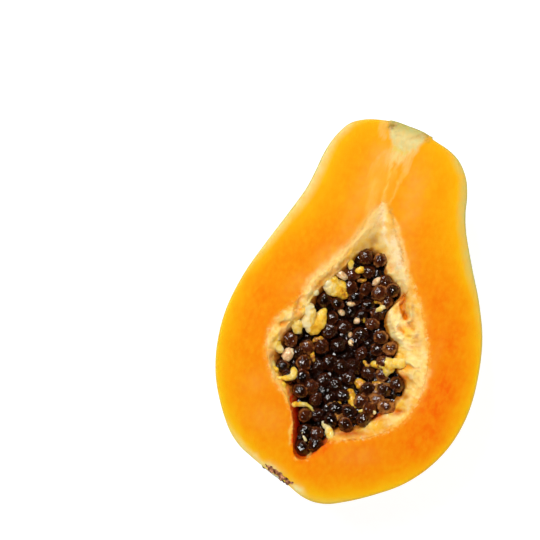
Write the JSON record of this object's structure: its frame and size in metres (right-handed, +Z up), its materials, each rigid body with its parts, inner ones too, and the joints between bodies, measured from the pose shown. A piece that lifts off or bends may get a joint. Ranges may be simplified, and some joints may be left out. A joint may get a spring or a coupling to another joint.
{
  "type": "papaya half",
  "caption": "Ripe papaya cut in half lengthwise, lying on its rind with the cut face and its hollow of dark seeds facing up.",
  "frame": {"origin": "on the flat spot under the belly that the half rests on, under the fruit's stem-to-blossom line", "axes": "+Y along the fruit towards the stem end, +Z up out of the cut face"},
  "size_m": [0.1024, 0.1515, 0.0479],
  "materials": {
    "fruit_half": "moist orange flesh and lining, waxy yellow-green rind",
    "seed_cluster": "wet dark brown seeds"
  },
  "bodies": {
    "root": {"fruit_half": "fruit_half", "seed_cluster": "seed_cluster"}
  },
  "joints": []
}
